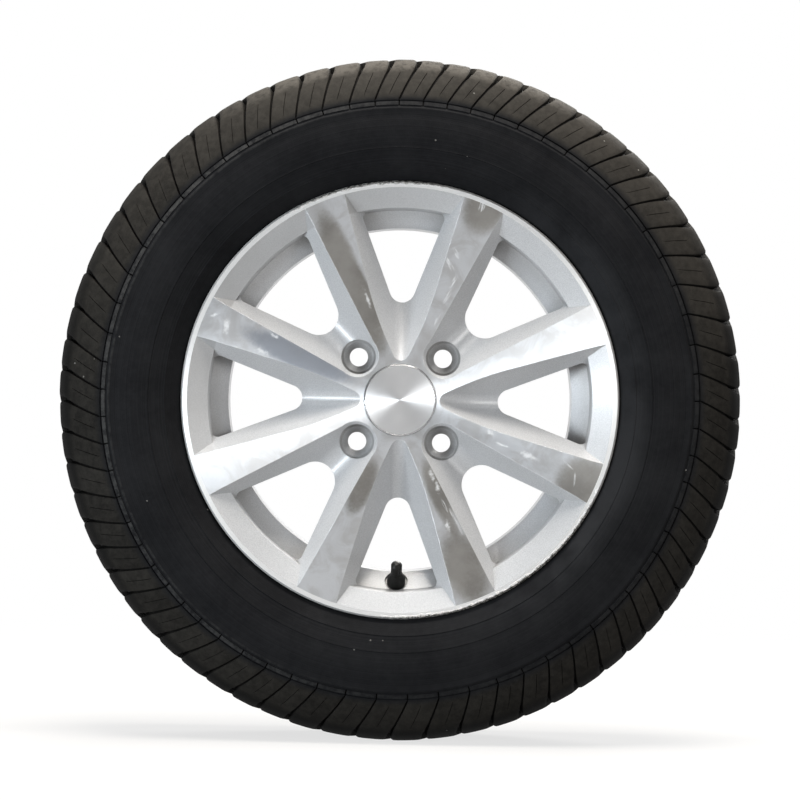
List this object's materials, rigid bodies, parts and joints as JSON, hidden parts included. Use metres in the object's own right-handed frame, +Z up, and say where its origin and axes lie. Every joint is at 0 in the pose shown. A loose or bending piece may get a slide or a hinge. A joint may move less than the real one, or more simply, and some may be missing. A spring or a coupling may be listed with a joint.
{
  "type": "wheel and tyre assembly",
  "caption": "Trailer or small car road wheel: cast alloy rim with turned spokes, tubeless tyre, centre cap and snap-in valve; bolts to a hub.",
  "frame": {"origin": "centre of the wheel, on the axle line and midway across the rim", "axes": "+Y along the axle towards the vehicle, the front faces -Y, +Z up with the valve lowest"},
  "size_m": [0.5731, 0.177, 0.5732],
  "materials": {
    "tyre_rubber": "matt, worn",
    "cast_alloy": "silver paint with turned faces",
    "cap_plastic": "bright silver",
    "turned_aluminium": "finely turned",
    "spring_steel": "bright",
    "valve_rubber": "satin",
    "brass": "turned",
    "cap_black": "satin"
  },
  "bodies": {
    "wheel": {"alloy_wheel": "cast_alloy", "tyre": "tyre_rubber", "centre_cap": "cap_plastic", "centre_cap_face": "turned_aluminium", "cap_retaining_ring": "spring_steel", "valve_body": "valve_rubber", "valve_stem": "brass", "valve_core_body": "brass", "valve_core_seal": "valve_rubber", "valve_core_spring": "spring_steel"},
    "core_pin": {"valve_core_pin": "brass", "valve_core_cup": "valve_rubber"},
    "cap_seal": {"valve_cap_seal": "valve_rubber"},
    "dust_cap": {"valve_cap": "cap_black"}
  },
  "joints": [
    {"name": "core_pin_press", "type": "slide", "parent": "wheel", "child": "core_pin", "axis": [0, 0.7967, -0.6044], "range_m": [0, 0.0012], "stiffness_N_per_m": 1000, "springref_m": -0.001, "deforming": ["valve_core_spring"]},
    {"name": "dust_cap_lift", "type": "slide", "parent": "wheel", "child": "cap_seal", "axis": [0, -0.7967, 0.6044], "range_m": [0, 0.01032]},
    {"name": "dust_cap_turn", "type": "hinge", "parent": "cap_seal", "child": "dust_cap", "pos_m": [0, -0.04085, -0.1535], "axis": [0, -0.7967, 0.6044], "range_deg": [0, 4680]}
  ],
  "couplings": [
    {"joint": "dust_cap_turn", "follows": "dust_cap_lift", "rad_per_m": 7913.3}
  ]
}
